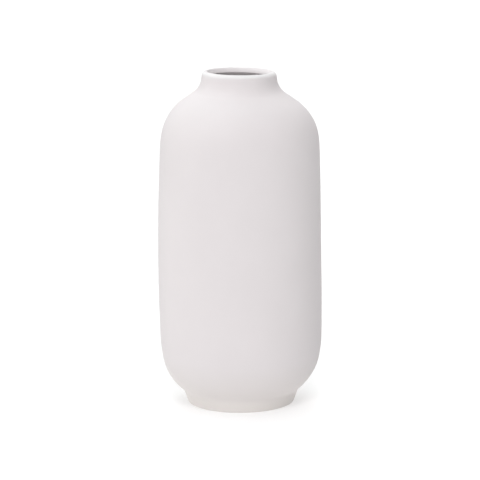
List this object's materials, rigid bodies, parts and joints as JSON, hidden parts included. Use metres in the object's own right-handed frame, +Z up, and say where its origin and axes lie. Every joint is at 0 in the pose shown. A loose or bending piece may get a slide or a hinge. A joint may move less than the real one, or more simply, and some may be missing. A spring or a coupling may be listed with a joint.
{
  "type": "bud vase",
  "caption": "Tall round-shouldered bud vase with a short flared collar, a rounded lip that slopes into the mouth and a small tapered foot, in matte off-white glazed ceramic.",
  "frame": {"origin": "centre of the circle that the foot ring stands on, at floor height", "axes": "+Z up along the vase's own axis, from the foot to the mouth; X and Y are level, and the vase is round about Z"},
  "size_m": [0.0804, 0.0804, 0.165],
  "materials": {
    "bare_clay": "matte",
    "matte_glaze": "matte",
    "liner_glaze": "satin"
  },
  "bodies": {
    "root": {"clay_body": "bare_clay", "matte_glaze": "matte_glaze", "liner_glaze": "liner_glaze", "foot_glaze": "matte_glaze"}
  },
  "joints": []
}
